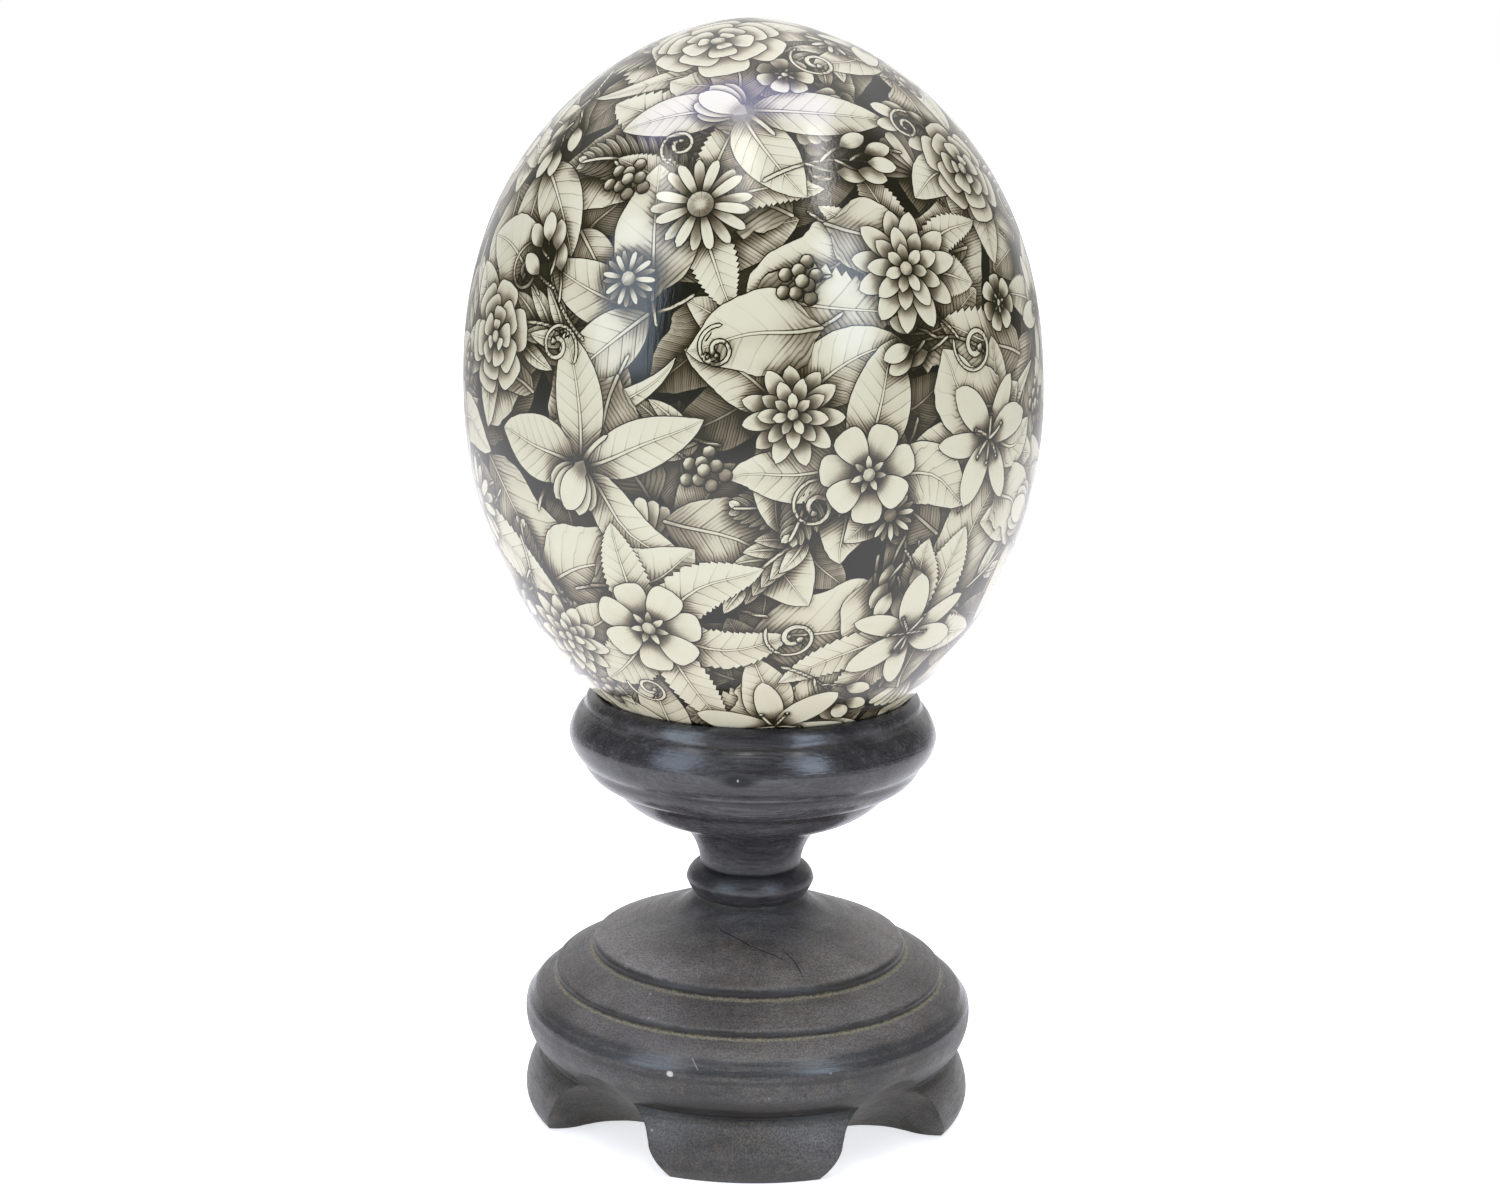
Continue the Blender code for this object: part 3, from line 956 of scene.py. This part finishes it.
    # The dust film here also paints light on upward faces.
    for share, paint_over in ((pores * 0.45, PORE), (dust_and_top_light, DUST_AND_TOP_LIGHT), (earthy * low_part, EARTH)):
        colour = graph.blend(share, colour, paint_over)
    # The mottle, with the painted light of the belts, multiplies the colour.
    colour = graph.blend(1.0, colour, graph.vector(mottle, mottle, mottle), "MULTIPLY")
    # These blends also paint light and shade: highlights on the rubbed edges, a cool sheen on the polished band, and
    # shade in the creases.
    for share, paint_over in ((rubbed_and_highlight * 0.5, RUBBED_AND_HIGHLIGHT), (polished_and_sheen * 0.6, POLISHED_SHEEN_TINT), (near_rings(SHADE_RINGS), CREASE_SHADE),
                              (dust, DUST), (cracks * 0.85, CRACK), (knot * 0.85, KNOT_WOOD), (chips, CHIP)):
        colour = graph.blend(share, colour, paint_over)

    rough = graph.mix(graph.ramp(height, 61.0 * MM, 70.0 * MM), 0.40, 0.20)
    rough = rough + (fibre - 0.5) * 0.35 + (tool_marks - 0.5) * 0.30 + graph.most(dust_and_top_light, dust) * 0.22
    rough = graph.mix(polished_and_sheen, graph.mix(knot, rough - rubbed_and_highlight * 0.10, 0.80), 0.24)
    relief = fibre * (0.045 * MM) + tool_marks * (0.048 * MM) + graph.noise(where, 110.0, 1.0, 0.6) * (0.12 * MM)
    relief = relief - graph.ramp(from_crack, 0.05 * MM, 0.30 * MM, 0.2 * MM, 0.0)
    rounded = graph.value("ShaderNodeBevel", {"Radius": 0.8 * MM}, samples=4)
    finish({
        "Base Color": colour,
        "Roughness": graph.least(graph.most(rough, 0.20), 0.95),
        "Specular IOR Level": 0.5,
        "Normal": graph.bump(relief, Normal=rounded),
    })
    return material


# ---- pieces

def show(name, data):
    """A new object in the scene."""
    made = bpy.data.objects.new(name, data)
    bpy.context.scene.collection.objects.link(made)
    return made


def as_mesh(model, name):
    """A mesh from a bmesh, which is freed."""
    mesh = bpy.data.meshes.new(name)
    model.to_mesh(mesh)
    model.free()
    return mesh


def egg_placement():
    """Where the egg lies, with its lean."""
    return Matrix.Translation(Vector(EGG_CENTRE) * MM) @ Matrix.Rotation(EGG_LEAN, 4, "Y")


def build_egg():
    """The painted egg."""
    directions, squares, places = patch_grid()
    points = egg_points(directions)
    layers = paint(points, squares, composition())
    mesh = bpy.data.meshes.new("egg_painted")
    mesh.vertices.add(len(points))
    mesh.vertices.foreach_set("co", (points * MM).astype(np.float32).ravel())
    mesh.loops.add(squares.size)
    mesh.loops.foreach_set("vertex_index", squares.astype(np.int32).ravel())
    mesh.polygons.add(len(squares))
    mesh.polygons.foreach_set("loop_start", np.arange(0, squares.size, 4, dtype=np.int32))
    mesh.update(calc_edges=True)
    mesh.validate()
    mesh.shade_smooth()
    mesh.uv_layers.new(name="OFBake").data.foreach_set("uv", places.astype(np.float32).ravel())
    for number in range(PAINT_LAYERS):
        for name, fields in LAYER_FIELDS.items():
            slots = [FIELDS.index(field) for field in fields]
            values = np.ascontiguousarray(layers[number][..., slots], np.float32)
            attribute = mesh.attributes.new("%s%d" % (name, number), "FLOAT_VECTOR", "CORNER")
            attribute.data.foreach_set("vector", values.ravel())
    mesh.transform(egg_placement())
    mesh.materials.append(painted_shell())
    egg = show("egg_painted", mesh)
    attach(egg, "root")
    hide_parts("egg")


def arc(start, end, bulge, steps):
    """Points from start up to, not including, end, on an arc that stands bulge off its chord."""
    along = (end[0] - start[0], end[1] - start[1])
    length = math.hypot(*along)
    outwards = (-along[1] / length, along[0] / length)
    points = []
    for step in range(steps):
        t = step / steps
        rise = 0.0
        if bulge:
            radius = (length * length / 4 + bulge * bulge) / (2 * abs(bulge))
            half = length * (t - 0.5)
            rise = math.copysign(math.sqrt(radius * radius - half * half) - (radius - abs(bulge)), bulge)
        points.append((start[0] + along[0] * t + outwards[0] * rise,
                       start[1] + along[1] * t + outwards[1] * rise))
    return points


def outline_points(rows, last):
    """All the points of an outline given as rows of corner, bulge and steps."""
    points = []
    for row, end in zip(rows, [*rows[1:], last]):
        points += arc(row[:2], end[:2], row[2], row[3])
    return [*points, last]


def turned(name, outline):
    """An outline of (radius, height) turned about Z into a closed mesh."""
    model = bmesh.new()
    rings = []
    for radius, height in outline:
        sides = STAND_SIDES if radius > 1e-3 else 1
        rings.append([model.verts.new((radius * MM * math.cos(math.tau * n / sides) if sides > 1 else 0.0,
                                       radius * MM * math.sin(math.tau * n / sides), height * MM))
                      for n in range(sides)])
    for upper, lower in zip(rings, rings[1:]):
        for n in range(STAND_SIDES):
            m = (n + 1) % STAND_SIDES
            corners = (upper[n % len(upper)], lower[n % len(lower)], lower[m % len(lower)], upper[m % len(upper)])
            model.faces.new(list(dict.fromkeys(corners)))
    return as_mesh(model, name)


def arch_cutter(angle):
    """A hollow with an arched mouth, scooped inwards and down."""
    side = outline_points(ARCH_OUTLINE, ARCH_FOOT)
    side.append((side[-1][0], -ARCH_DEPTH))
    section = side + [(-across, up) for across, up in reversed(side[1:])]
    outwards, inwards = ARCH_REACH
    model = bmesh.new()
    mouth = model.faces.new([model.verts.new(Vector((across, -ARCH_DISTANCE - outwards,
                                                     up + outwards * ARCH_SLOPE)) * MM)
                             for across, up in section])
    length = (outwards + inwards) * MM
    extruded = bmesh.ops.extrude_face_region(model, geom=[mouth], use_keep_orig=True)
    inner_end = [item for item in extruded["geom"] if isinstance(item, bmesh.types.BMVert)]
    bmesh.ops.translate(model, verts=inner_end, vec=(0.0, length, -length * ARCH_SLOPE))
    bmesh.ops.recalc_face_normals(model, faces=model.faces)
    mesh = as_mesh(model, "arch")
    mesh.transform(Matrix.Rotation(math.radians(angle), 4, "Z"))
    return mesh


def seat_cutter():
    """The egg's own shape, grown by the seat's gap."""
    mesh = turned("seat", zip(*egg_profile(np.cos(np.linspace(0.0, math.pi, SEAT_RINGS + 1)), SEAT_GAP)))
    mesh.transform(egg_placement())
    return mesh


def build_stand():
    """The turned stand with its feet."""
    outline = [(0.0, STAND_OUTLINE[0][1]), *outline_points(STAND_OUTLINE, (0.0, 0.0))]
    stand = show("stand_turned", turned("stand_turned", outline))
    arches = [arch_cutter(foot + side * ARCH_OFF_FOOT) for foot in FOOT_ANGLES for side in (-1, 1)]
    cutters = [show("cutter", mesh) for mesh in [seat_cutter(), *arches]]
    for cutter in cutters:
        boolean = stand.modifiers.new("Cut", "BOOLEAN")
        boolean.operation = "DIFFERENCE"
        boolean.solver = "EXACT"
        boolean.object = cutter
    bpy.context.view_layer.update()
    mesh = bpy.data.meshes.new_from_object(stand.evaluated_get(bpy.context.evaluated_depsgraph_get()))
    stand.modifiers.clear()
    stand.data = mesh
    for cutter in cutters:
        bpy.data.objects.remove(cutter, do_unlink=True)
    mesh.shade_smooth()
    mesh.set_sharp_from_angle(angle=SHARP_EDGE)
    mesh.materials.clear()
    mesh.materials.append(dark_wood())
    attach(stand, "root")
    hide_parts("stand")


# ---- studio, in metres

WHITE = (1.0, 1.0, 1.0)
WARM = (1.0, 0.97, 0.91)
COOL = (0.68, 0.81, 1.0)
VIOLET = (0.57, 0.58, 1.0)
STREAK = (1.0, 0.99, 0.98)
DIM_ROOM = (0.135, 0.134, 0.126)
BRIGHT_CEILING = (1.35, 1.35, 1.35)
FLOOR_HALF = 20.0
LIT_POINT = (0.0, 0.0, 0.19)
# Lights as (name, place, direction of the second side, sides, power, colour).
LIGHTS = (
    ("window left", (-0.66, -0.56, 0.50), (0.0, 0.0, 1.0), (0.40, 0.66), 3.6, COOL),
    ("window right", (0.56, -0.70, 0.56), (0.0, 0.0, 1.0), (0.30, 0.60), 3.4, COOL),
    ("ceiling", (-0.10, 0.08, 1.15), (0.0, 1.0, 0.0), (1.05, 0.30), 4.7, VIOLET),
    ("streak left", (-0.60, -0.40, 1.12), (-0.31, -0.95, 0.0), (0.09, 0.42), 1.6, STREAK),
    ("streak middle", (-0.07, -0.34, 1.12), (0.0, -1.0, 0.0), (0.14, 0.72), 2.3, STREAK),
    ("streak right", (0.40, -0.34, 1.12), (0.31, -0.95, 0.0), (0.10, 0.60), 2.1, STREAK),
)
CAMERA_PLACE = (-0.0012, -0.6, 0.2504)
CAMERA_DOWN = 0.2134
CAMERA_ROLL = 0.0184
CAMERA_LENS = 64.39
CAMERA_SENSOR = 36.0


def area_light(name, place, along, size, power, colour):
    """A soft rectangular light that faces the egg."""
    lamp = bpy.data.lights.new(name, "AREA")
    lamp.shape = "RECTANGLE"
    lamp.size, lamp.size_y = size
    lamp.energy = power
    lamp.color = colour
    back = (Vector(place) - Vector(LIT_POINT)).normalized()
    side = Vector(along).cross(back).normalized()
    turn = Matrix((side, back.cross(side), back)).transposed()
    show(name, lamp).matrix_world = Matrix.Translation(place) @ turn.to_4x4()


def build_floor():
    """A pale floor that glows softly, as under a bright studio, with the stand's soft shadow near it."""
    model = bmesh.new()
    model.faces.new([model.verts.new((FLOOR_HALF * x, FLOOR_HALF * y, 0.0))
                     for x, y in ((-1, -1), (1, -1), (1, 1), (-1, 1))])
    floor = show("floor", as_mesh(model, "floor"))
    material, graph, finish = new_material("floor")
    away = graph.vectors("LENGTH", graph.value("ShaderNodeTexCoord", output="Object"), output="Value")
    seen = graph.value("ShaderNodeLightPath", output="Is Camera Ray")
    near_glow = graph.ramp(away, 0.10, 0.25, 0.42, 0.60) * graph.ramp(away, 0.5, 1.4, 1.0, 0.0)
    seen_glow = graph.ramp(away, 0.10, 1.2, 0.62, 0.80) * seen
    finish({
        "Base Color": (0.90, 0.90, 0.91),
        "Roughness": 0.9,
        "Specular IOR Level": 0.0,
        "Emission Color": graph.blend(seen, WARM, WHITE),
        "Emission Strength": graph.most(near_glow, seen_glow),
    })
    floor.data.materials.append(material)


def build_room():
    """White surroundings behind and above, dimmer to the sides and the front."""
    world = bpy.data.worlds.new("studio")
    bpy.context.scene.world = world
    world.use_nodes = True
    graph = Graph(world.node_tree)
    _, y, z = graph.split(graph.value("ShaderNodeTexCoord", output="Generated"))
    seen = graph.value("ShaderNodeLightPath", output="Is Camera Ray")
    bright = graph.most(graph.most(graph.ramp(y, 0.58, 0.90), graph.ramp(z, 0.80, 0.97)), seen)
    overhead = graph.ramp(y, 0.15, 0.35) * graph.ramp(z, 0.48, 0.72)
    colour = graph.blend(overhead, graph.blend(bright, DIM_ROOM, WHITE), BRIGHT_CEILING)
    graph.put(world.node_tree.nodes["Background"].inputs["Color"], colour)
    bpy.context.scene.view_settings.view_transform = "Standard"


def build_camera():
    """The photograph's camera: a little above the stand and looking down at it."""
    data = bpy.data.cameras.new("camera")
    data.sensor_width = CAMERA_SENSOR
    data.lens = CAMERA_LENS
    data.clip_start = 0.01
    camera = show("camera", data)
    camera.matrix_world = (Matrix.Translation(CAMERA_PLACE)
                           @ Matrix.Rotation(math.pi / 2 - CAMERA_DOWN, 4, "X")
                           @ Matrix.Rotation(CAMERA_ROLL, 4, "Z"))
    bpy.context.scene.camera = camera


build_egg()
build_stand()
build_floor()
build_room()
for light in LIGHTS:
    area_light(*light)
build_camera()
